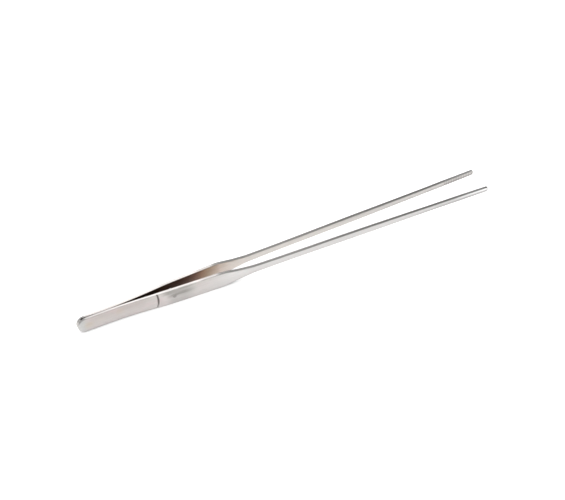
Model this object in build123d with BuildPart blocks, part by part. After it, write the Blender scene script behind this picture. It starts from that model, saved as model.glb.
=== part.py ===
"""Long straight aquascaping tweezers: two mirrored steel arms welded together at the butt.

The tool lies on its lower edge. +X runs from the butt to the tips, +Y towards the far arm, +Z up.
The origin is the bottom centre of the whole tool. All lengths are in millimetres.
Stations along the tool are counted from the butt end and turned into X by station().
"""

from build123d import *
from math import radians, tan
import os

# Whole tool
LENGTH = 270.0
GRIP_WIDTH = 10.9
MID_Z = GRIP_WIDTH / 2

# Butt, where the two arms are welded face to face
BUTT_LENGTH = 20.0
BUTT_WIDTH = 9.8
BUTT_THICKNESS = 1.8
EDGE_RADIUS = 0.25
WELD_WIDTH = 1.1
WELD_DEPTH = 0.6
WELD_GROOVE_SWEEP = 166.0
WELD_SWEEP = 148.0

# Transverse groove between the spring leaf and the grip
LEAF_END = 47.5
GROOVE_WIDTH = 1.0
GROOVE_FLOOR = 2.9

# Guide pin, riveted into the near arm and free in a hole of the far arm
PIN_STATION = 59.3
PIN_RADIUS = 0.8
PIN_REACH = 4.3
PIN_TIP_CHAMFER = 0.2
RIVET_RADIUS = 1.05
RIVET_ANGLE = 82.0
PIN_HOLE_RADIUS = 1.15

# Where the grip's neck ends and the slender shank begins
NECK_END = 111.0

# Serrated gripping faces inside the tips
TIP_START = 246.0
TOOTH_PITCH = 1.25
TOOTH_COUNT = 17
TOOTH_DEPTH = 0.3

# Cross-sections of one arm: station, half gap, thickness, width, corner radius
LEAF_SECTIONS = [
    (BUTT_LENGTH, 0.0, BUTT_THICKNESS, BUTT_WIDTH, EDGE_RADIUS),
    (27.0, 0.17, 1.7, 9.95, EDGE_RADIUS),
    (34.0, 0.5, 1.65, 10.1, EDGE_RADIUS),
    (41.0, 0.92, 1.7, 10.25, EDGE_RADIUS),
    (LEAF_END, 1.36, 1.8, 10.4, EDGE_RADIUS),
]
GRIP_ENTRY_SECTIONS = [
    (LEAF_END, 1.36, 2.0, 10.5, EDGE_RADIUS),
    (54.0, 1.8, 2.0, GRIP_WIDTH, EDGE_RADIUS),
]
GRIP_SECTIONS = [
    (54.0, 1.8, 2.0, GRIP_WIDTH, EDGE_RADIUS),
    (64.0, 2.35, 2.0, GRIP_WIDTH, EDGE_RADIUS),
    (74.0, 2.76, 2.0, GRIP_WIDTH, EDGE_RADIUS),
    (88.0, 3.23, 2.05, GRIP_WIDTH, 0.3),
]
NECK_SECTIONS = [
    (88.0, 3.23, 2.05, GRIP_WIDTH, 0.3),
    (91.0, 3.33, 2.05, 10.45, 0.35),
    (94.5, 3.45, 2.02, 9.3, 0.4),
    (98.0, 3.56, 1.98, 7.9, 0.4),
    (102.0, 3.68, 1.95, 6.7, 0.45),
    (106.0, 3.79, 1.93, 5.75, 0.5),
    (NECK_END, 3.92, 1.92, 4.9, 0.5),
]
SHANK_SECTIONS = [
    (NECK_END, 3.92, 1.92, 4.9, 0.5),
    (120.0, 4.1, 1.92, 4.5, 0.5),
    (160.0, 4.92, 1.95, 4.25, 0.5),
    (205.0, 5.92, 1.97, 3.9, 0.5),
    (TIP_START, 7.0, 1.95, 3.55, 0.5),
]
TIP_SECTIONS = [
    (TIP_START, 7.0, 1.95, 3.55, 0.5),
    (LENGTH, 7.79, 1.8, 3.35, 0.45),
]

GRIP_STRETCHES = [(GRIP_ENTRY_SECTIONS, True), (GRIP_SECTIONS, True), (NECK_SECTIONS, False)]
SHANK_STRETCHES = [(SHANK_SECTIONS, False), (TIP_SECTIONS, True)]
GRIP_THICKNESS = GRIP_SECTIONS[0][2]
TIP_RADIUS = TIP_SECTIONS[-1][3] / 2
BUTT_RADIUS = BUTT_WIDTH / 2


def station(distance):
    """X of a point this far from the butt end."""
    return distance - LENGTH / 2


def half_gap(distance, sections):
    """Distance of an arm's inner face from the middle plane, on a straight stretch."""
    first, last = sections[0], sections[-1]
    share = (distance - first[0]) / (last[0] - first[0])
    return first[1] + share * (last[1] - first[1])


BUTT_CENTRE_X = station(BUTT_RADIUS)
BUTT_AXIS = Axis((BUTT_CENTRE_X, 0, MID_Z), (0, 1, 0))
WELD_START = Plane(origin=(BUTT_CENTRE_X, 0, MID_Z), x_dir=(0, 0, -1), z_dir=(1, 0, 0))

# The pin's axis runs along Y; its flush head lies in the near arm's outer face
TOOTH_BAR = TOOTH_DEPTH * 2**0.5
RIVET_DEPTH = (RIVET_RADIUS - PIN_RADIUS) / tan(radians(RIVET_ANGLE / 2))
PIN_OUTER_Y = half_gap(PIN_STATION, GRIP_SECTIONS[:2]) + GRIP_THICKNESS
PIN_LENGTH = GRIP_THICKNESS + PIN_REACH
PIN_PLANE = Plane(origin=(station(PIN_STATION), -PIN_OUTER_Y, MID_Z), z_dir=(0, -1, 0))

os.makedirs("parts", exist_ok=True)


# Section of the weld bead, a triangle that points inwards, standing below the butt's round end
with BuildSketch(WELD_START) as weld_section:
    with BuildLine():
        Polyline(
            (BUTT_RADIUS, -WELD_WIDTH / 2),
            (BUTT_RADIUS, WELD_WIDTH / 2),
            (BUTT_RADIUS - WELD_DEPTH, 0),
            close=True,
        )
    make_face()

# Butt plate: a flat strip with a full round end, grooved round that end for the weld
with BuildPart() as near_butt_plate:
    with BuildSketch(Plane.XZ):
        with Locations((BUTT_CENTRE_X, MID_Z)):
            Circle(BUTT_RADIUS)
            Rectangle(BUTT_LENGTH - BUTT_RADIUS, BUTT_WIDTH, align=(Align.MIN, Align.CENTER))
    extrude(amount=BUTT_THICKNESS)
    outer_face, inner_face = near_butt_plate.faces().filter_by(Axis.Y).sort_by(Axis.Y)
    rim = outer_face.edges().filter_by(Axis.Z, reverse=True)
    seam = inner_face.edges().filter_by(Axis.X)
    fillet(rim + seam, EDGE_RADIUS)
    revolve(weld_section.sketch, axis=BUTT_AXIS, revolution_arc=WELD_GROOVE_SWEEP, mode=Mode.SUBTRACT)

with BuildPart() as far_butt_plate:
    mirror(near_butt_plate.part, about=Plane.XZ)

# Weld bead: ground flush round the end; it stops short of its groove's end and leaves a small pit
with BuildPart() as butt_weld:
    revolve(weld_section.sketch, axis=BUTT_AXIS, revolution_arc=WELD_SWEEP)

# Spring leaf: the thinned stretch of an arm that bends when the tool is squeezed
with BuildPart() as near_spring_leaf:
    for distance, gap, thickness, width, corner in LEAF_SECTIONS:
        with BuildSketch(Plane.YZ.offset(station(distance))):
            with Locations((-gap - thickness / 2, MID_Z)):
                RectangleRounded(thickness, width, corner)
    loft()

with BuildPart() as far_spring_leaf:
    mirror(near_spring_leaf.part, about=Plane.XZ)

# Grip of one arm, with its shoulder and neck, before any hole is made
with BuildPart() as plain_grip:
    for sections, straight in GRIP_STRETCHES:
        for distance, gap, thickness, width, corner in sections:
            with BuildSketch(Plane.YZ.offset(station(distance))):
                with Locations((-gap - thickness / 2, MID_Z)):
                    RectangleRounded(thickness, width, corner)
        loft(ruled=straight)

    # Groove across the outer face, beside the spring leaf
    with Locations((station(LEAF_END), -GROOVE_FLOOR, MID_Z)):
        Box(
            GROOVE_WIDTH,
            GRIP_THICKNESS,
            GRIP_WIDTH,
            align=(Align.MIN, Align.MAX, Align.CENTER),
            mode=Mode.SUBTRACT,
        )

with BuildPart() as near_grip:
    add(plain_grip.part)
    with Locations(PIN_PLANE):
        CounterSinkHole(PIN_RADIUS, RIVET_RADIUS, counter_sink_angle=RIVET_ANGLE)

with BuildPart() as far_grip:
    mirror(plain_grip.part, about=Plane.XZ)
    with Locations(PIN_PLANE):
        Hole(PIN_HOLE_RADIUS)

# Shank of one arm: slender, round-edged and tapering, with teeth inside its tip
with BuildPart() as near_shank:
    for sections, straight in SHANK_STRETCHES:
        for distance, gap, thickness, width, corner in sections:
            with BuildSketch(Plane.YZ.offset(station(distance))):
                with Locations((-gap - thickness / 2, MID_Z)):
                    RectangleRounded(thickness, width, corner)
        loft(ruled=straight)

    # Teeth: V-grooves across the inner face of the tip
    groove_stations = [LENGTH - TOOTH_PITCH * (n + 1) for n in range(TOOTH_COUNT)]
    with BuildSketch(Plane.XY):
        with Locations(*[(station(d), -half_gap(d, TIP_SECTIONS)) for d in groove_stations]):
            Rectangle(TOOTH_BAR, TOOTH_BAR, rotation=45)
    extrude(amount=GRIP_WIDTH, mode=Mode.SUBTRACT)

    # Tip rounded off in side view
    with BuildSketch(Plane.XZ):
        with Locations((station(LENGTH - TIP_RADIUS), MID_Z)):
            Circle(TIP_RADIUS)
            Rectangle(LENGTH, GRIP_WIDTH, align=(Align.MAX, Align.CENTER))
    extrude(amount=LENGTH, mode=Mode.INTERSECT)

with BuildPart() as far_shank:
    mirror(near_shank.part, about=Plane.XZ)

# Guide pin: a flush countersunk rivet head in the near arm and a stud that reaches the far one
with BuildPart() as guide_pin:
    with BuildSketch(Plane.XY.offset(MID_Z)):
        with BuildLine():
            Polyline(
                (station(PIN_STATION), -PIN_OUTER_Y),
                (station(PIN_STATION) + RIVET_RADIUS, -PIN_OUTER_Y),
                (station(PIN_STATION) + PIN_RADIUS, -PIN_OUTER_Y + RIVET_DEPTH),
                (station(PIN_STATION) + PIN_RADIUS, -PIN_OUTER_Y + PIN_LENGTH),
                (station(PIN_STATION), -PIN_OUTER_Y + PIN_LENGTH),
                close=True,
            )
        make_face()
    revolve(axis=Axis((station(PIN_STATION), 0, MID_Z), (0, 1, 0)))
    chamfer(guide_pin.edges().sort_by(Axis.Y)[-1], PIN_TIP_CHAMFER)

pieces = {
    "near_butt_plate": near_butt_plate,
    "far_butt_plate": far_butt_plate,
    "butt_weld": butt_weld,
    "near_spring_leaf": near_spring_leaf,
    "far_spring_leaf": far_spring_leaf,
    "near_grip": near_grip,
    "far_grip": far_grip,
    "near_shank": near_shank,
    "far_shank": far_shank,
    "guide_pin": guide_pin,
}
for name, piece in pieces.items():
    piece.part.label = name
    export_step(piece.part, f"parts/{name}.step")
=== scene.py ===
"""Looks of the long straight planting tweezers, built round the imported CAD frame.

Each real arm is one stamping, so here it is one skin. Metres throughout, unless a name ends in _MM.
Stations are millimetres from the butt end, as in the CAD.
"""

from math import cos, pi, radians, sin, sqrt

import bmesh
import bpy
import numpy as np
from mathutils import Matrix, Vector
from mathutils.bvhtree import BVHTree


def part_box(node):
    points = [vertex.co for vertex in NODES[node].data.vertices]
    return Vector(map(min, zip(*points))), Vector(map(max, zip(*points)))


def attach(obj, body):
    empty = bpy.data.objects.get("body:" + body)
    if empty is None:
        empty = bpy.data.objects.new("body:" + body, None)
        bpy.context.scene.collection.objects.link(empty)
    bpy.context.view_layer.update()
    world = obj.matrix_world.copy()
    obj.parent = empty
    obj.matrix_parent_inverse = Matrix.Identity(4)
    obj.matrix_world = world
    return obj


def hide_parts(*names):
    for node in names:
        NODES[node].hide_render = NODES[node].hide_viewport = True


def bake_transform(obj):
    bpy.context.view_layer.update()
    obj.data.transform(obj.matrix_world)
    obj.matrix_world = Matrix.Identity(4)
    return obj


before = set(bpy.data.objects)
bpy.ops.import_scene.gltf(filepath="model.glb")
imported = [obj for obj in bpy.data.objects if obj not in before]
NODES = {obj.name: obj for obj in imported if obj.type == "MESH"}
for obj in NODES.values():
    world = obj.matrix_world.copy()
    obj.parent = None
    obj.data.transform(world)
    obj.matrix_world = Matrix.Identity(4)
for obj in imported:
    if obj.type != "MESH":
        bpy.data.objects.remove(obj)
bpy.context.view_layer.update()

MM = 0.001
MM_PER_METRE = 1000.0
BUTT_X = min(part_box("near_butt_plate")[0].x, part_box("far_butt_plate")[0].x)
LENGTH_MM = (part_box("near_shank")[1].x - BUTT_X) / MM
MID_Z_MM = (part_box("near_grip")[0].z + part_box("near_grip")[1].z) / 2 / MM
BUTT_RADIUS_MM = (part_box("near_butt_plate")[1].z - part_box("near_butt_plate")[0].z) / 2 / MM
LEAF_START_MM = (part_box("near_spring_leaf")[0].x - BUTT_X) / MM
TIP_START_MM = 246.0

# Groove across the outer face where the leaf meets the grip: it bows towards the tips
GROOVE_MID_MM = 49.3
GROOVE_LEAN_MM = 0.05
GROOVE_BOW_MM = 0.9
GROOVE_HALF_MM = 0.66
GROOVE_FLAT = 0.25
GROOVE_FLOOR_MM = 2.9
BURR_MM = 0.03
BURR_AT = 1.35
BURR_SPREAD = 0.4

# Guide pin, its seat in the near arm and its hole in the far arm
PIN_MM = 59.3
SEAT_RADIUS_MM = 1.05
SEAT_DEPTH_MM = 0.3
SEAT_LIP_MM = 0.04
PIN_RADIUS_MM = 0.8
PIN_BREAK_MM = 0.05
HOLE_RADIUS_MM = 1.15
HOLE_BREAK_MM = 0.12
HOLE_ROUNDING_MM = (0.03, 0.05)

# Turned outline of the pin as radius and distance from its head, then as radius and distance from its end
PIN_HEAD_MM = [(0.0, 0.0), (0.4, 0.003), (0.72, 0.01), (0.92, 0.022), (0.985, 0.05), (0.99, 0.09)]
PIN_NECK_MM = [(0.92, 0.16), (0.79, 0.31), (0.79, 0.6), (0.79, 1.9)]
PIN_END_MM = [(0.79, 0.24), (0.775, 0.19), (0.62, 0.03), (0.56, 0.0), (0.3, 0.0), (0.0, 0.0)]
PIN_TURNS = 64

# Teeth inside the tips
TOOTH_PITCH_MM = 1.25
TOOTH_COUNT = 17
TOOTH_DEPTH_MM = 0.3

# Weld bead and the V-groove it fills. The bead's sweep starts at the bottom of the round butt end; the
# groove's end and its pit are angles above the butt's very end, in radians
WELD_HALF_MM = 0.55
WELD_DEPTH_MM = 0.6
WELD_SWEEP_DEG = 148.0
VEE_END = radians(76.0)
VEE_FADE = 0.02
VEE_RUNOUT_MM = 0.4
PIT_TURN = radians(67.0)

# Shape of the bead's section and of its sunken upper end
WELD_STEPS = 150
WELD_ROWS = (-1, -0.8, -0.45, 0, 0.45, 0.8, 1)
WELD_LAP_MM = 0.01
WELD_BELOW_FLUSH_MM = 0.004
WELD_WAIST_DEPTH_MM = 0.35
WELD_WAIST_HALF_MM = 0.25
WELD_SINK_MM = 0.22
WELD_SINK_DEG = 9

# Softness of the long edges along an arm: crisp on the handle, rounder on the shank
EDGE_STATIONS_MM = [0, 4, 14, 84, 88, 92, 96, 103, 111, 160, 205, 240, 250, 270]
OUTER_RADII_MM = [0.25, 0.25, 0.22, 0.22, 0.25, 0.3, 0.34, 0.38, 0.4, 0.4, 0.4, 0.4, 0.45, 0.55]
INNER_RADII_MM = [0.45, 0.4, 0.22, 0.22, 0.25, 0.3, 0.34, 0.38, 0.4, 0.4, 0.4, 0.4, 0.35, 0.35]

# How the edge's look fades into the faces, and how open the seam between the arms may be to get painted shade
EDGE_FADE_SLOW = 0.6
EDGE_FADE_QUICK = 2
SEAM_OPEN_MM = 0.3

MERGE_DISTANCE = 1e-7
SHARP_DEGREES = 38


def x_of(station):
    return BUTT_X + station * MM


# --------------------------------------------------------------------------------------------------------
# What the CAD says: half gap, outer face and half width of an arm at every station

# The CAD is measured beside the cross groove and on the crests of the teeth
CAD_STATIONS_MM = [6.0, 12.0, 19.8, *np.arange(21, 47, 2.0), 47.3, 48.9, *np.arange(50.5, 245, 2.0)]
CAD_STATIONS_MM += [246.5, 248.125, 258.125, 268.125]
FINE_MM = np.arange(0, LENGTH_MM + 0.01, 0.25)
SMOOTHING = 4.0

# Measuring rays start well clear of the arm, and meet its faces above the pin or inside the narrow shank
RAY_OUTSIDE = 0.03
RAY_BEYOND = 0.01
RAY_OVERHEAD = 0.05
RAY_ABOVE_PIN_MM = 2.0
RAY_ON_SHANK_MM = 0.7
NARROW_FROM_MM = 100


def cad_tree(names):
    """The named CAD nodes as one search tree for rays."""
    verts, faces = [], []
    for name in names:
        mesh = NODES[name].data
        first = len(verts)
        verts += [v.co.copy() for v in mesh.vertices]
        faces += [[first + i for i in p.vertices] for p in mesh.polygons]
    return BVHTree.FromPolygons(verts, faces)


def hit(tree, start, direction):
    """Where a ray meets the CAD."""
    found = tree.ray_cast(Vector(start), Vector(direction))[0]
    if found is None:
        raise ValueError(f"no CAD surface met from {start} along {direction}")
    return found


def smooth(values, spread):
    """Gaussian smoothing that keeps straight stretches straight up to both ends."""
    reach = int(4 * spread)
    kernel = np.exp(-0.5 * (np.arange(-reach, reach + 1) / spread) ** 2)
    padded = np.pad(values, reach, mode="reflect", reflect_type="odd")
    return np.convolve(padded, kernel / kernel.sum(), mode="valid")


def at(values, station):
    """Value at a station, from an array that runs along FINE_MM."""
    return float(np.interp(station, FINE_MM, values))


def sample_arm(side):
    """Station arrays of the arm on that side of the middle plane (-1 near, +1 far)."""
    name = "near" if side < 0 else "far"
    tree = cad_tree([f"{name}_{part}" for part in ("butt_plate", "spring_leaf", "grip", "shank")])
    gaps, outers, halves = [], [], []
    for station in CAD_STATIONS_MM:
        x = x_of(station)
        z = (MID_Z_MM + (RAY_ABOVE_PIN_MM if station < NARROW_FROM_MM else RAY_ON_SHANK_MM)) * MM
        outer = hit(tree, (x, side * RAY_OUTSIDE, z), (0, -side, 0)).y
        inner = hit(tree, (x, -side * RAY_BEYOND, z), (0, side, 0)).y
        top = hit(tree, (x, (outer + inner) / 2, RAY_OVERHEAD), (0, 0, -1)).z
        gaps.append(side * inner / MM)
        outers.append(side * outer / MM)
        halves.append(top / MM - MID_Z_MM)
    arrays = []
    for values in (gaps, outers, halves):
        slope = (values[-1] - values[-3]) / (CAD_STATIONS_MM[-1] - CAD_STATIONS_MM[-3])
        last = values[-1] + slope * (LENGTH_MM - CAD_STATIONS_MM[-1])
        line = np.interp(FINE_MM, [0.0, *CAD_STATIONS_MM, LENGTH_MM], [values[0], *values, last])
        arrays.append(smooth(line, SMOOTHING))
    arrays[0] = np.where(FINE_MM < LEAF_START_MM - 1.0, 0.0, np.maximum(arrays[0], 0.0))
    return arrays


# --------------------------------------------------------------------------------------------------------
# Shape functions shared by both arms


def ease(value, start, end):
    """0 before start, 1 after end, and a smooth step between them."""
    t = min(1.0, max(0.0, (value - start) / (end - start)))
    return t * t * (3 - 2 * t)


def groove(station, across):
    """How deep the cross groove is here, from 0 to 1, and the burr beside it."""
    middle = GROOVE_MID_MM + GROOVE_LEAN_MM * across - GROOVE_BOW_MM * across**2
    away = abs(station - middle) / GROOVE_HALF_MM
    return 1 - ease(away, GROOVE_FLAT, 1.0), max(0.0, 1 - abs(away - BURR_AT) / BURR_SPREAD)


def tooth(station):
    """Depth of the V-grooves across the inner face of the tip, in millimetres."""
    count = (LENGTH_MM - station) / TOOTH_PITCH_MM
    nearest = round(count)
    if not 1 <= nearest <= TOOTH_COUNT:
        return 0.0
    return max(0.0, TOOTH_DEPTH_MM - abs(count - nearest) * TOOTH_PITCH_MM)


def rounding(radius, share):
    """Inset and drop of a rounded edge; share runs from 0 at the wall to 1 at the face."""
    angle = share * pi / 2
    return radius * (1 - cos(angle)), radius * (1 - sin(angle))


# --------------------------------------------------------------------------------------------------------
# Where the skin's points lie: columns along the arm, rows round it, and an open patch round the pin

BUTT_TURNS_DEG = (0, 4, 10, 18, 26, 34, 42, 50, 57, 62, 68, 73, 75, 77, 80, 85)
TIP_TURNS_DEG = (80, 70, 60, 50, 40, 30, 20, 11, 4, 0)
TIP_WIDTH_AT_MM = 1.45
COLUMN_STEP_MM = 0.8
GROOVE_COLUMN_STEP_MM = 0.08
GRIP_COLUMN_STEP_MM = 0.5
TOOTH_COLUMNS_MM = (-0.36, -0.30, -0.24, -0.12, -0.03, 0.03, 0.12, 0.24, 0.30, 0.36)

PATCH_CELLS = 8
PATCH_STEP_MM = 0.45
HALF_PATCH = PATCH_CELLS // 2
PATCH_BLENDS = (0.33, 0.66, 1.0)

CORNER_STEPS = 6
WALL_STEPS = 3
FACE_CELLS = 11
FACE_SPAN_MM = 5.4
OUTERMOST_ROW = 0.985
MIDDLE_ROWS = [PATCH_STEP_MM * k / FACE_SPAN_MM for k in range(-FACE_CELLS, FACE_CELLS + 1)]
FACE_ROWS = [-1, -OUTERMOST_ROW, *MIDDLE_ROWS, OUTERMOST_ROW, 1]
MIDDLE_ROW = len(FACE_ROWS) // 2
INNER_START = len(FACE_ROWS) + CORNER_STEPS * 2 + WALL_STEPS - 1


def arm_columns(tip_centre):
    """Where the skin has a ring of points: round the butt end, along the arm, round the tip end."""
    along = [BUTT_RADIUS_MM, BUTT_RADIUS_MM + 0.2, BUTT_RADIUS_MM + 0.4]
    along += list(np.arange(6.4, 46.8, COLUMN_STEP_MM))
    along += list(np.arange(47.0, 50.7, GROOVE_COLUMN_STEP_MM))
    along += list(np.arange(51.0, 57.3, GRIP_COLUMN_STEP_MM))
    along += [PIN_MM + PATCH_STEP_MM * i for i in range(-HALF_PATCH, HALF_PATCH + 1)]
    along += list(np.arange(61.6, TIP_START_MM + 1.5, COLUMN_STEP_MM))
    middles = [LENGTH_MM - TOOTH_PITCH_MM * n for n in range(1, TOOTH_COUNT + 1)]
    teeth = sorted(middle + s for middle in middles for s in TOOTH_COLUMNS_MM)
    along = [s for s in along if s < teeth[0] - 0.2] + [t for t in teeth if t < tip_centre - 0.02]
    columns = [("butt", radians(a)) for a in BUTT_TURNS_DEG]
    columns += [("body", s) for s in along] + [("body", tip_centre)]
    columns += [("tip", radians(a)) for a in TIP_TURNS_DEG]
    return columns


def row_index(level, inner):
    """Ring index of a face row, level counted in cells from the middle, upwards."""
    if inner:
        return INNER_START + (len(FACE_ROWS) - 1 - (MIDDLE_ROW + level))
    return MIDDLE_ROW + level


def in_patch(cell, row):
    """True for a quad of the patch round the pin; cell is counted from the patch's first column."""
    if not 0 <= cell < PATCH_CELLS:
        return False
    low_outer = row_index(-HALF_PATCH, False)
    low_inner = row_index(HALF_PATCH, True)
    return low_outer <= row < low_outer + PATCH_CELLS or low_inner <= row < low_inner + PATCH_CELLS


def patch_border():
    """The points round the patch, as cells from its middle along and across the arm."""
    border = [(-HALF_PATCH + n, -HALF_PATCH) for n in range(PATCH_CELLS)]
    border += [(HALF_PATCH, -HALF_PATCH + n) for n in range(PATCH_CELLS)]
    border += [(HALF_PATCH - n, HALF_PATCH) for n in range(PATCH_CELLS)]
    border += [(-HALF_PATCH, HALF_PATCH - n) for n in range(PATCH_CELLS)]
    return border


def sew(rings):
    """Quads between closed rings of points that follow one another."""
    faces = []
    for a, b in zip(rings, rings[1:]):
        for n in range(len(a)):
            m = (n + 1) % len(a)
            faces.append((a[n], a[m], b[m], b[n]))
    return faces


def mesh_piece(name, verts, faces, zones=None):
    """A smooth shaded object, with sharp edges where its faces turn by more than SHARP_DEGREES."""
    mesh = bpy.data.meshes.new(name)
    mesh.from_pydata(verts, [], faces)
    for zone, values in (zones or {}).items():
        mesh.attributes.new(zone, "FLOAT", "POINT").data.foreach_set("value", values)
    obj = bpy.data.objects.new(name, mesh)
    bpy.context.scene.collection.objects.link(obj)
    work = bmesh.new()
    work.from_mesh(mesh)
    bmesh.ops.remove_doubles(work, verts=work.verts, dist=MERGE_DISTANCE)
    bmesh.ops.dissolve_degenerate(work, edges=work.edges, dist=MERGE_DISTANCE)
    loose = [v for v in work.verts if not v.link_faces]
    bmesh.ops.delete(work, geom=loose, context="VERTS")
    bmesh.ops.recalc_face_normals(work, faces=work.faces)
    for face in work.faces:
        face.smooth = True
    for e in work.edges:
        e.smooth = len(e.link_faces) == 2 and e.calc_face_angle(0) < radians(SHARP_DEGREES)
    work.to_mesh(mesh)
    work.free()
    return obj


# --------------------------------------------------------------------------------------------------------
# One arm as one skin


class Arm:
    """Points of one arm's skin, with what is painted on them; side is -1 for the near arm, +1 for the far."""

    def __init__(self, side):
        self.side = side
        self.gap, self.outer, self.half = sample_arm(side)
        self.tip_radius = at(self.half, LENGTH_MM - TIP_WIDTH_AT_MM)
        self.tip_centre = LENGTH_MM - self.tip_radius
        self.verts = []
        self.zones = {"inside": [], "edge": [], "dirt": []}

    # The last value of a point is how much painted shade it gets in a recess
    def add(self, station, y, z, inside, edge=0.0, dirt=0.0):
        """A point, y counted outwards from the middle plane and z from the middle of the grip's width."""
        self.verts.append((x_of(station), self.side * y * MM, (MID_Z_MM + z) * MM))
        for zone, value in zip(self.zones, (inside, edge, dirt)):
            self.zones[zone].append(value)
        return len(self.verts) - 1

    def outline(self, column, inset):
        """Station and half width of the arm's side outline, moved inwards by inset."""
        kind, value = column
        if kind == "butt":
            reach = BUTT_RADIUS_MM - inset
            return BUTT_RADIUS_MM - reach * cos(value), reach * sin(value)
        if kind == "tip":
            reach = self.tip_radius - inset
            return self.tip_centre + reach * cos(value), reach * sin(value)
        return value, at(self.half, value) - inset

    def outer_y(self, station, across):
        """The outer face with its cross groove; across runs from -1 to 1 over the arm's width."""
        depth, burr = groove(station, across)
        face = at(self.outer, station)
        return face - depth * (face - GROOVE_FLOOR_MM) + burr * BURR_MM

    def circle(self, radius, depth, from_inner, blend=1.0):
        """A ring of points round the pin, depth below the outer or the inner face."""
        ring = []
        for i, j in patch_border():
            reach = sqrt(i * i + j * j)
            dx = PATCH_STEP_MM * i * (1 - blend) + radius * blend * i / reach
            dz = PATCH_STEP_MM * j * (1 - blend) + radius * blend * j / reach
            station = PIN_MM + dx
            y = at(self.gap, station) + depth if from_inner else at(self.outer, station) - depth
            ring.append(self.add(station, y, dz, 1.0 if from_inner else 0.0))
        return ring

    def pin_seat(self):
        """Rings through the near arm: a countersunk seat, then the stud's hole."""
        rings = [self.circle(SEAT_RADIUS_MM + PIN_BREAK_MM, 0, False, b) for b in PATCH_BLENDS]
        rings.append(self.circle(SEAT_RADIUS_MM, SEAT_LIP_MM, False))
        rings.append(self.circle(PIN_RADIUS_MM, SEAT_DEPTH_MM, False))
        rings.append(self.circle(PIN_RADIUS_MM, PIN_BREAK_MM, True))
        rings += [self.circle(PIN_RADIUS_MM + PIN_BREAK_MM, 0, True, b) for b in reversed(PATCH_BLENDS)]
        return rings

    def pin_hole(self):
        """Rings through the far arm: a plain hole with broken edges."""
        wide = HOLE_RADIUS_MM + HOLE_BREAK_MM
        wider, lower = HOLE_ROUNDING_MM
        rings = [self.circle(wide, 0, False, b) for b in PATCH_BLENDS]
        rings.append(self.circle(HOLE_RADIUS_MM + wider, lower, False))
        rings.append(self.circle(HOLE_RADIUS_MM, HOLE_BREAK_MM, False))
        rings.append(self.circle(HOLE_RADIUS_MM, HOLE_BREAK_MM, True))
        rings.append(self.circle(HOLE_RADIUS_MM + wider, lower, True))
        rings += [self.circle(wide, 0, True, b) for b in reversed(PATCH_BLENDS)]
        return rings


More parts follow.
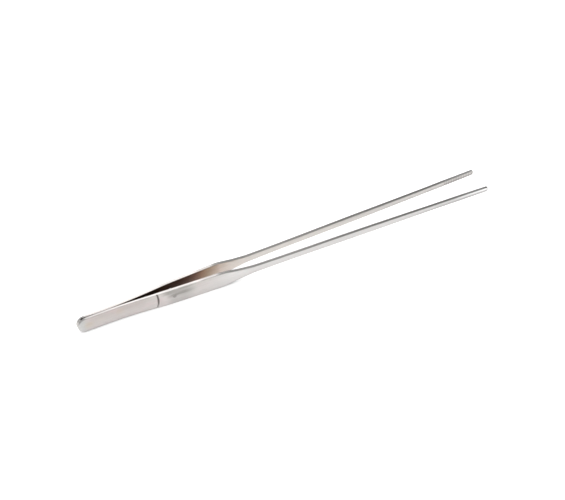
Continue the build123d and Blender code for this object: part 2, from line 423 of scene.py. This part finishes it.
class Section:
    """The ring of points at one column of an arm, with its edge radii and its share of the weld's groove."""

    def __init__(self, arm, column):
        plain = arm.outline(column, 0)[0]
        self.arm = arm
        self.column = column
        self.outer_radius = float(np.interp(plain, EDGE_STATIONS_MM, OUTER_RADII_MM))
        self.inner_radius = float(np.interp(plain, EDGE_STATIONS_MM, INNER_RADII_MM))
        self.vee_below = 1 - ease(plain, BUTT_RADIUS_MM, BUTT_RADIUS_MM + VEE_RUNOUT_MM)
        self.vee_above = 0.0
        if column[0] == "butt":
            self.vee_above = 1 - ease(column[1], VEE_END - VEE_FADE, VEE_END + VEE_FADE)
        self.wide = at(arm.half, plain)

    def outer_face(self, share):
        station, reach = self.arm.outline(self.column, self.outer_radius)
        z = share * reach
        across = z / self.wide
        y = self.arm.outer_y(station, across)
        # Painted shade in the cross groove
        return self.arm.add(station, y, z, 0.0, dirt=groove(station, across)[0])

    def inner_face(self, share):
        vee = self.vee_below + (self.vee_above - self.vee_below) * (share + 1) / 2
        inset = self.inner_radius + vee * (WELD_DEPTH_MM - self.inner_radius)
        station, reach = self.arm.outline(self.column, inset)
        notch = tooth(station)
        y = at(self.arm.gap, station) + notch
        # Painted shade between the teeth
        return self.arm.add(station, y, share * reach, 1.0, dirt=notch / TOOTH_DEPTH_MM)

    def edge_share(self, share, sign):
        """How much of an edge's look a corner has; the lower edges and the tip keep more of it."""
        fade = EDGE_FADE_SLOW if sign < 0 or self.column[0] == "tip" else EDGE_FADE_QUICK
        return (1 - share) ** fade

    def outer_corner(self, share, sign):
        """share runs from 0 at the wall to 1 at the face."""
        inset, drop = rounding(self.outer_radius, share)
        station, reach = self.arm.outline(self.column, inset)
        across = sign * reach / self.wide
        y = self.arm.outer_y(station, across) - drop
        # Painted shade in the cross groove, on the rounded corners too
        dirt = share * groove(station, across)[0]
        return self.arm.add(station, y, sign * reach, 0.0, self.edge_share(share, sign), dirt)

    def inner_corner(self, share, sign):
        """share runs from 0 at the wall to 1 at the face; at the butt the corner is the weld's groove."""
        inset, drop = rounding(self.inner_radius, share)
        vee = self.vee_above if sign > 0 else self.vee_below
        inset += vee * (WELD_DEPTH_MM * share - inset)
        drop += vee * (WELD_HALF_MM * (1 - share) - drop)
        station, reach = self.arm.outline(self.column, inset)
        face = at(self.arm.gap, station)
        y = max(face + drop, face + tooth(station))
        # Painted shade where the seam between the arms is closed
        seam = 1 - ease(face, 0.0, SEAM_OPEN_MM)
        return self.arm.add(station, y, sign * reach, share, self.edge_share(share, sign), share * seam)

    def wall(self, share, sign):
        """share runs from 0 at the outer corner to 1 at the inner corner."""
        station, reach = self.arm.outline(self.column, 0)
        top = self.arm.outer_y(station, sign * reach / self.wide) - self.outer_radius
        vee = self.vee_above if sign > 0 else self.vee_below
        low = at(self.arm.gap, station) + self.inner_radius + vee * (WELD_HALF_MM - self.inner_radius)
        return self.arm.add(station, top + share * (low - top), sign * reach, 0.0, 1.0)

    def ring(self):
        """Up the outer face, across the top, down the inner face and back along the bottom."""
        ring = [self.outer_face(t) for t in FACE_ROWS]
        ring += [self.outer_corner(1 - k / CORNER_STEPS, 1) for k in range(1, CORNER_STEPS + 1)]
        ring += [self.wall(k / WALL_STEPS, 1) for k in range(1, WALL_STEPS)]
        ring += [self.inner_corner(k / CORNER_STEPS, 1) for k in range(CORNER_STEPS)]
        ring += [self.inner_face(t) for t in reversed(FACE_ROWS)]
        ring += [self.inner_corner(1 - k / CORNER_STEPS, -1) for k in range(1, CORNER_STEPS + 1)]
        ring += [self.wall(1 - k / WALL_STEPS, -1) for k in range(1, WALL_STEPS)]
        ring += [self.outer_corner(k / CORNER_STEPS, -1) for k in range(CORNER_STEPS)]
        return ring


def build_arm(side):
    arm = Arm(side)
    columns = arm_columns(arm.tip_centre)
    rings = [Section(arm, column).ring() for column in columns]

    # The square patch round the pin is left open, and a round seat or hole is sewn into it
    patch_start = PIN_MM - PATCH_STEP_MM * HALF_PATCH - 0.01
    first = next(i for i, (kind, value) in enumerate(columns) if kind == "body" and value > patch_start)
    faces = []
    for i, (ring, following) in enumerate(zip(rings, rings[1:])):
        for j in range(len(ring)):
            if not in_patch(i - first, j):
                k = (j + 1) % len(ring)
                faces.append((ring[j], following[j], following[k], ring[k]))

    def border(inner):
        return [rings[first + HALF_PATCH + i][row_index(j, inner)] for i, j in patch_border()]

    opening = arm.pin_seat() if side < 0 else arm.pin_hole()
    faces += sew([border(False), *opening, border(True)])
    return mesh_piece("near_arm_skin" if side < 0 else "far_arm_skin", arm.verts, faces, arm.zones)


# --------------------------------------------------------------------------------------------------------
# Weld bead and guide pin


def build_weld():
    """The bead in the V-groove round the butt end; it was ground nearly flush, so its ripples are low."""
    verts, rings = [], []
    for n in range(WELD_STEPS + 1):
        turn = WELD_SWEEP_DEG * n / WELD_STEPS
        angle = radians(-90 + turn)
        left = min(turn, WELD_SWEEP_DEG - turn)
        sink = WELD_SINK_MM * (1 - ease(left, 0, WELD_SINK_DEG)) if turn > WELD_SWEEP_DEG / 2 else 0.0
        ripple = 0.008 + 0.006 * sin(turn * 0.55) + 0.003 * sin(turn * 0.13)
        section = []
        for a in WELD_ROWS:
            scallop = ripple * (1 + 0.6 * (1 - a * a)) + 0.01 * a * a
            reach = BUTT_RADIUS_MM - WELD_BELOW_FLUSH_MM - scallop - sink
            section.append((reach, a * (WELD_HALF_MM + WELD_LAP_MM)))
        section.append((BUTT_RADIUS_MM - WELD_WAIST_DEPTH_MM, WELD_WAIST_HALF_MM))
        section.append((BUTT_RADIUS_MM - WELD_DEPTH_MM, 0))
        section.append((BUTT_RADIUS_MM - WELD_WAIST_DEPTH_MM, -WELD_WAIST_HALF_MM))
        first = len(verts)
        for reach, y in section:
            station = BUTT_RADIUS_MM - reach * cos(angle)
            verts.append((x_of(station), y * MM, (MID_Z_MM + reach * sin(angle)) * MM))
        rings.append(list(range(first, len(verts))))
    faces = [*sew(rings), tuple(rings[0]), tuple(reversed(rings[-1]))]
    return mesh_piece("weld_bead", verts, faces)


def build_pin():
    """A turned pin: flush countersunk head with a faint crown, straight shank, broken tip edge."""
    low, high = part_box("guide_pin")
    centre_x, centre_z = (low.x + high.x) / 2, (low.z + high.z) / 2
    length = (high.y - low.y) / MM
    profile = PIN_HEAD_MM + PIN_NECK_MM + [(radius, length - before) for radius, before in PIN_END_MM]
    verts, rings = [], []
    for radius, along in profile:
        rings.append(list(range(len(verts), len(verts) + PIN_TURNS)))
        for n in range(PIN_TURNS):
            a = 2 * pi * n / PIN_TURNS
            x = centre_x + radius * MM * cos(a)
            z = centre_z + radius * MM * sin(a)
            verts.append((x, low.y + along * MM, z))
    return mesh_piece("guide_pin_turned", verts, sew(rings))


# --------------------------------------------------------------------------------------------------------
# Materials

BUMP_DISTANCE = 0.00002


class Nodes:
    """Small helper that adds nodes to a tree and wires them."""

    def __init__(self, tree):
        self.tree = tree
        tree.nodes.clear()

    def add(self, kind, inputs=None, **settings):
        node = self.tree.nodes.new(kind)
        for key, value in settings.items():
            setattr(node, key, value)
        for key, value in (inputs or {}).items():
            socket = node.inputs[key]
            if isinstance(value, bpy.types.NodeSocket):
                self.tree.links.new(value, socket)
            else:
                socket.default_value = value
        return node

    def maths(self, operation, a, b=0.0):
        return self.add("ShaderNodeMath", {0: a, 1: b}, operation=operation).outputs[0]

    def plus(self, a, b):
        return self.maths("ADD", a, b)

    def minus(self, a, b):
        return self.maths("SUBTRACT", a, b)

    def times(self, a, b):
        return self.maths("MULTIPLY", a, b)

    def ramp(self, value, low, high, out_low, out_high):
        inputs = {"Value": value, "From Min": low, "From Max": high, "To Min": out_low, "To Max": out_high}
        return self.add("ShaderNodeMapRange", inputs, interpolation_type="SMOOTHSTEP").outputs[0]

    def window(self, value, rise_start, rise_end, fall_start, fall_end):
        """1 between rise_end and fall_start, easing to 0 outside."""
        up = self.ramp(value, rise_start, rise_end, 0, 1)
        down = self.ramp(value, fall_start, fall_end, 1, 0)
        return self.times(up, down)

    def zone(self, name):
        """A value painted on the mesh points."""
        return self.add("ShaderNodeAttribute", attribute_name=name).outputs["Fac"]

    def place(self):
        """Where a point lies on the object, in metres."""
        return self.add("ShaderNodeTexCoord").outputs["Object"]

    def axes(self, vector):
        return self.add("ShaderNodeSeparateXYZ", {0: vector}).outputs

    def away_from(self, place, point):
        return self.add("ShaderNodeVectorMath", {0: place, 1: point}, operation="SUBTRACT").outputs[0]

    def shades(self, value, low, high, stops):
        """Colours that follow one another as value goes from low to high; a stop is a value and a colour."""
        node = self.add("ShaderNodeValToRGB", {0: self.maths("DIVIDE", self.minus(value, low), high - low)})
        elements = node.color_ramp.elements
        while len(elements) < len(stops):
            elements.new(1.0)
        for element, (place, shade) in zip(elements, stops):
            element.position = (place - low) / (high - low)
            element.color = shade
        return node.outputs[0]

    def mix(self, factor, a, b):
        return self.add("ShaderNodeMix", {0: factor, 6: a, 7: b}, data_type="RGBA").outputs[2]

    def noise(self, vector, stretch, detail=3.0, rough=0.55, w=0.0):
        shift = (w, w * 0.7, -w)
        mapped = self.add("ShaderNodeMapping", {"Vector": vector, "Scale": stretch, "Location": shift})
        inputs = {"Vector": mapped.outputs[0], "Scale": 1.0, "Detail": detail, "Roughness": rough}
        return self.add("ShaderNodeTexNoise", inputs, noise_dimensions="3D").outputs["Fac"]

    def bump(self, height, strength):
        inputs = {"Strength": strength, "Distance": BUMP_DISTANCE, "Height": height}
        return self.add("ShaderNodeBump", inputs).outputs[0]


def colour(r, g, b):
    return (r, g, b, 1.0)


FACE_GLANCE = colour(0.62, 0.61, 0.6)
SHANK_EDGE_GLANCE = colour(0.3, 0.3, 0.3)
# Painted shade for the shank edges and the lower side of the tips
PAINTED_SHADE = colour(0.07, 0.068, 0.064)

# Inner faces by station: burnt dark brown in the crotch deepened by painted shade, tan at the shoulder, then
# painted light that lifts the bare steel above the outer faces up to about station 160
INNER_TINT_AND_PAINTED_LIGHT = [
    (50, colour(0.20, 0.125, 0.095)),
    (57, colour(0.32, 0.215, 0.17)),
    (62, colour(0.27, 0.182, 0.148)),
    (66, colour(0.31, 0.215, 0.18)),
    (71, colour(0.34, 0.24, 0.207)),
    (77, colour(0.48, 0.35, 0.295)),
    (80, colour(0.62, 0.455, 0.365)),
    (84, colour(0.70, 0.585, 0.48)),
    (92, colour(0.88, 0.78, 0.71)),
    (100, colour(0.77, 0.705, 0.66)),
    (112, colour(0.66, 0.625, 0.595)),
    (160, colour(0.59, 0.56, 0.535)),
    (200, colour(0.53, 0.508, 0.49)),
]


def new_material(name):
    material = bpy.data.materials.new(name)
    material.use_nodes = True
    return material, Nodes(material.node_tree)


def finish_metal(n, base, roughness, normal, glance=FACE_GLANCE):
    """Bare metal; glance is its tint where it is seen at a flat angle."""
    inputs = {"Base Color": base, "Metallic": 1.0, "Roughness": roughness, "Normal": normal}
    inputs["Specular Tint"] = glance
    shader = n.add("ShaderNodeBsdfPrincipled", inputs)
    n.add("ShaderNodeOutputMaterial", {"Surface": shader.outputs[0]})


def temper_tints(n, place, station, height):
    """Outer faces: warm at the butt, neutral from the grip on, with faint patches of temper colour."""
    base = n.mix(n.ramp(station, 38, 50, 0, 1), colour(0.425, 0.388, 0.374), colour(0.487, 0.461, 0.447))
    base = n.mix(n.ramp(station, 76, 96, 0, 1), base, colour(0.525, 0.51, 0.502))
    handle = n.ramp(station, 60, 84, 1, 0)
    pink_cloud = n.noise(place, (75, 120, 120), 2.0, 0.5, 1.9)
    straw_cloud = n.noise(place, (60, 90, 90), 2.0, 0.5, 12.3)
    pink = n.times(n.ramp(pink_cloud, 0.5, 0.68, 0, 1), handle)
    straw = n.times(n.ramp(straw_cloud, 0.52, 0.7, 0, 1), handle)
    base = n.mix(n.times(pink, 0.7), base, colour(0.48, 0.405, 0.40))
    base = n.mix(n.times(straw, 0.8), base, colour(0.465, 0.43, 0.375))

    # The weld's heat left the butt's end greyish blue, with tan patches behind it
    base = n.mix(n.ramp(station, 2, 8, 0.8, 0), base, colour(0.41, 0.42, 0.42))
    for start, low, strength in ((3, 2, 0.8), (22, 4, 0.5)):
        along = n.window(station, start, start + 3, start + 4, start + 8)
        tan = n.times(along, n.window(height, low, low + 2.2, low + 3.8, low + 6))
        base = n.mix(n.times(tan, strength), base, colour(0.42, 0.36, 0.3))
    return base


def painted_light_and_tone(n, base, station, height):
    """Painted light on the handle from the lower edge up, against the shade the faces reflect near the floor;
    shanks a little darker at the end, with a painted highlight along the top of the tips.
    """
    # Painted light, strongest at the handle's lower edge
    lower_painted_light = n.times(n.ramp(height, 0, 10, 0.38, 0), n.ramp(station, 94, 112, 1, 0))
    base = n.mix(lower_painted_light, base, colour(0.86, 0.84, 0.83))
    base = n.mix(n.ramp(station, 205, 262, 0, 1), base, colour(0.48, 0.472, 0.465))
    # Painted highlight along the upper side of the tips
    painted_tip_highlight = n.times(n.ramp(station, 240, 262, 0, 1), n.ramp(height, 5.2, 6.2, 0, 1))
    return n.mix(painted_tip_highlight, base, colour(0.68, 0.675, 0.67))


def belt_marks(n, place, station, height, inside):
    """Belt marks across the upper part of the grip, weaker lower down; along its top they start earlier."""
    early = n.plus(station, n.ramp(height, 7.2, 8.8, 0, 3))
    grip = n.times(n.ramp(early, 53, 59, 0, 1), n.ramp(station, 65, 75, 1, 0))
    rows = n.plus(0.3, n.times(n.window(height, 4.2, 6.4, 10.4, 11.2), 0.7))
    marks = n.times(n.times(grip, rows), n.minus(1.0, inside))
    streaks = n.noise(place, (30, 420, 420), 2.0, 0.5, 7.7)
    return n.times(marks, n.ramp(streaks, 0.32, 0.56, 0.5, 1))


def edge_tint_and_shade(n, base, edge, station, side):
    """Narrow edges: ground bright on the handle; painted shade, for the dark they reflect, darkens them on
    the shank and on the near arm by the butt; side is the distance across the tool.
    """
    # Painted shade on the edges: past the shoulder and along the shank, a little less at the tips, more on
    # the near arm by the butt
    painted_edge_shade = n.plus(n.ramp(station, 73, 79, 0, 0.35), n.ramp(station, 85, 89, 0, 0.42))
    painted_edge_shade = n.plus(painted_edge_shade, n.ramp(station, 120, 195, 0, 0.13))
    painted_edge_shade = n.minus(painted_edge_shade, n.ramp(station, 232, 262, 0, 0.06))
    near = n.ramp(side, -0.0004, 0.0004, 1, 0)
    painted_edge_shade = n.plus(painted_edge_shade, n.times(n.times(near, 0.2), n.window(station, 2, 8, 12, 36)))
    base = n.mix(n.times(edge, n.ramp(station, 50, 80, 0.7, 0)), base, colour(0.465, 0.45, 0.44))
    return n.mix(n.times(edge, painted_edge_shade), base, PAINTED_SHADE)


def weld_pit(n, place):
    """1 in the open upper end of the weld's groove, 0 elsewhere."""
    reach = BUTT_RADIUS_MM - 0.3
    pit_x = x_of(BUTT_RADIUS_MM - reach * cos(PIT_TURN))
    pit_z = (MID_Z_MM + reach * sin(PIT_TURN)) * MM
    inputs = {0: place, 1: (pit_x, 0.0, pit_z)}
    away = n.add("ShaderNodeVectorMath", inputs, operation="DISTANCE").outputs["Value"]
    return n.ramp(away, 0.0005, 0.0009, 1, 0)


def satin_steel():
    """Brushed stainless steel: grain along the arm, belt marks on the grip, a warm tint inside the crotch
    with painted shade and painted light on the inner faces, and painted shade on edges, lower tips and
    recesses.
    """
    material, n = new_material("satin_steel_brushed")
    place = n.place()
    x, y, z = n.axes(place)
    station = n.times(n.minus(x, BUTT_X), MM_PER_METRE)
    height = n.times(z, MM_PER_METRE)
    inside = n.zone("inside")
    edge = n.zone("edge")
    fine = n.noise(place, (130, 7000, 7000), 4.0, 0.6)
    medium = n.noise(place, (45, 1500, 1500), 3.0, 0.55, 3.1)

    base = painted_light_and_tone(n, temper_tints(n, place, station, height), station, height)
    marks = belt_marks(n, place, station, height, inside)
    base = n.mix(n.times(marks, 0.85), base, colour(0.27, 0.262, 0.245))
    # Inner faces: heat tint, with painted shade in the crotch and painted light along the shoulder and shank
    base = n.mix(inside, base, n.shades(station, 50, 210, INNER_TINT_AND_PAINTED_LIGHT))

    # Painted shade: both faces grow greyer towards the lower side of the tips
    painted_tip_shade = n.times(n.ramp(station, 180, 262, 0, 0.36), n.ramp(height, 4.4, 6.0, 1, 0))
    base = n.mix(painted_tip_shade, base, PAINTED_SHADE)
    base = edge_tint_and_shade(n, base, edge, station, y)

    # Streaks, painted shade in the cross groove, between the teeth and in the closed seam, stronger higher
    # up, and oxide in the open end of the weld
    base = n.mix(n.ramp(medium, 0.3, 0.7, 0.1, 0), base, colour(0.0, 0.0, 0.0))
    dirt = n.times(n.zone("dirt"), n.ramp(height, 0.5, 4.5, 0.4, 0.75))
    base = n.mix(dirt, base, colour(0.06, 0.055, 0.05))
    base = n.mix(n.times(weld_pit(n, place), 0.85), base, colour(0.08, 0.075, 0.07))

    grain = n.plus(n.times(fine, 0.5), n.times(medium, 0.5))
    rough = n.plus(n.ramp(grain, 0.3, 0.7, 0.26, 0.42), n.times(marks, 0.1))
    rough = n.plus(rough, n.ramp(station, 84, 100, 0.08, 0))
    crisp = n.times(edge, n.window(station, 3, 9, 84, 100))
    rough = n.minus(rough, n.times(crisp, 0.14))
    on_shank_edge = n.times(edge, n.ramp(station, 85, 100, 0, 1))
    glance = n.mix(on_shank_edge, FACE_GLANCE, SHANK_EDGE_GLANCE)
    finish_metal(n, base, rough, n.bump(grain, 0.35), glance)
    return material


def weld_steel():
    """The bead, belt ground almost flush: cross scratches, straw tint along its sides."""
    material, n = new_material("weld_steel_ground")
    place = n.place()
    side = n.maths("ABSOLUTE", n.axes(place)["Y"])
    scratch = n.noise(place, (1400, 5200, 1400), 4.0, 0.6)
    cloud = n.noise(place, (900, 900, 900), 2.0, 0.5, 4.4)
    base = n.mix(n.ramp(cloud, 0.35, 0.65, 0, 1), colour(0.42, 0.405, 0.40), colour(0.48, 0.465, 0.455))
    base = n.mix(n.ramp(side, 0.0003, 0.00055, 0, 0.5), base, colour(0.38, 0.34, 0.28))
    finish_metal(n, base, n.ramp(scratch, 0.3, 0.7, 0.3, 0.48), n.bump(scratch, 0.4))
    return material


def pin_steel():
    """Turned pin, its head filed flush: rings round its axis, straight file marks, a dark line at its rim."""
    material, n = new_material("pin_steel_turned")
    place = n.place()
    low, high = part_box("guide_pin")
    centre = ((low.x + high.x) / 2, 0.0, (low.z + high.z) / 2)
    x, _, z = n.axes(n.away_from(place, centre))
    squares = n.plus(n.maths("POWER", x, 2.0), n.maths("POWER", z, 2.0))
    away = n.times(n.maths("SQRT", squares), MM_PER_METRE)
    rings = n.maths("SINE", n.times(away, 42.0))
    scratch = n.noise(place, (300, 6000, 6000), 4.0, 0.6, 2.2)
    base = n.mix(n.ramp(scratch, 0.3, 0.7, 0, 1), colour(0.24, 0.23, 0.22), colour(0.31, 0.30, 0.29))
    base = n.mix(n.ramp(away, 0.8, 1.0, 0, 0.8), base, colour(0.1, 0.09, 0.08))
    height = n.plus(n.times(rings, 0.15), scratch)
    finish_metal(n, base, n.ramp(scratch, 0.3, 0.7, 0.3, 0.45), n.bump(height, 0.35))
    return material


# --------------------------------------------------------------------------------------------------------
# The pieces; the weld and the pin each on its body

near_arm = build_arm(-1)
far_arm = build_arm(1)
weld = build_weld()
pin = build_pin()

steel = satin_steel()
near_arm.data.materials.append(steel)
far_arm.data.materials.append(steel)
weld.data.materials.append(weld_steel())
pin.data.materials.append(pin_steel())

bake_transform(near_arm)
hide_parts("near_butt_plate", "near_spring_leaf", "near_grip", "near_shank")

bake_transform(far_arm)
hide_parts("far_butt_plate", "far_spring_leaf", "far_grip", "far_shank")

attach(weld, "butt")
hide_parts("butt_weld")

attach(pin, "near_arm")
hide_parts("guide_pin")


# --------------------------------------------------------------------------------------------------------
# Floor, studio light and camera

FLOOR_HALF_SIDE = 15.0

CAMERA_AZIMUTH_DEG = -27.486
CAMERA_ELEVATION_DEG = 44.272
CAMERA_DISTANCE = 1.0
CAMERA_TARGET = (-0.00274, 0.00136, 0.00535)
CAMERA_LENS_MM = 107.1
SENSOR_WIDTH_MM = 36.0


def direction(azimuth_deg, elevation_deg):
    """Unit vector that points away from the tool; azimuth 0 is the near side, 90 the tips."""
    azimuth, elevation = radians(azimuth_deg), radians(elevation_deg)
    return Vector((sin(azimuth) * cos(elevation), -cos(azimuth) * cos(elevation), sin(elevation)))


def facing_tool(away):
    """Rotation that turns a light or camera standing in that direction towards the tool."""
    return (-away).to_track_quat("-Z", "Y").to_euler()


def make_floor():
    mesh = bpy.data.meshes.new("studio_floor")
    signs = ((-1, -1), (1, -1), (1, 1), (-1, 1))
    corners = [(x * FLOOR_HALF_SIDE, y * FLOOR_HALF_SIDE, 0) for x, y in signs]
    mesh.from_pydata(corners, [], [(0, 1, 2, 3)])
    floor = bpy.data.objects.new("studio_floor", mesh)
    bpy.context.scene.collection.objects.link(floor)
    material, n = new_material("studio_floor_white")
    inputs = {"Base Color": colour(0.93, 0.93, 0.93), "Roughness": 0.9, "Specular IOR Level": 0.0}
    shader = n.add("ShaderNodeBsdfPrincipled", inputs)
    n.add("ShaderNodeOutputMaterial", {"Surface": shader.outputs[0]})
    mesh.materials.append(material)


def area_light(name, azimuth_deg, elevation_deg, distance, size, watts, in_reflections=True):
    """A square soft light that faces the tool from that compass direction and height."""
    towards = direction(azimuth_deg, elevation_deg)
    data = bpy.data.lights.new(name, "AREA")
    data.shape = "SQUARE"
    data.size = size
    data.energy = watts
    light = bpy.data.objects.new(name, data)
    light.location = towards * distance
    light.rotation_euler = facing_tool(towards)
    light.visible_camera = False
    light.visible_glossy = in_reflections
    bpy.context.scene.collection.objects.link(light)


def make_studio():
    """A dim room, a wide soft light overhead for the floor, and two softboxes behind for the edges."""
    world = bpy.data.worlds.new("studio")
    bpy.context.scene.world = world
    world.use_nodes = True
    n = Nodes(world.node_tree)
    back = n.add("ShaderNodeBackground", {"Color": colour(0.36, 0.36, 0.36), "Strength": 1.0})
    n.add("ShaderNodeOutputWorld", {"Surface": back.outputs[0]})
    area_light("overhead", 0, 90, 1.6, 5.0, 150.0, in_reflections=False)
    area_light("softbox_behind", 152.5, 46, 1.5, 0.95, 7.0)
    area_light("softbox_left", 214, 28, 1.5, 1.0, 3.1)


def make_camera():
    back = direction(CAMERA_AZIMUTH_DEG, CAMERA_ELEVATION_DEG)
    data = bpy.data.cameras.new("photo_view")
    data.sensor_width = SENSOR_WIDTH_MM
    data.lens = CAMERA_LENS_MM
    data.clip_start = 0.01
    data.clip_end = 100.0
    camera = bpy.data.objects.new("photo_view", data)
    camera.location = Vector(CAMERA_TARGET) + back * CAMERA_DISTANCE
    camera.rotation_euler = facing_tool(back)
    bpy.context.scene.collection.objects.link(camera)
    bpy.context.scene.camera = camera


make_floor()
make_studio()
make_camera()
bpy.context.scene.view_settings.view_transform = "Standard"
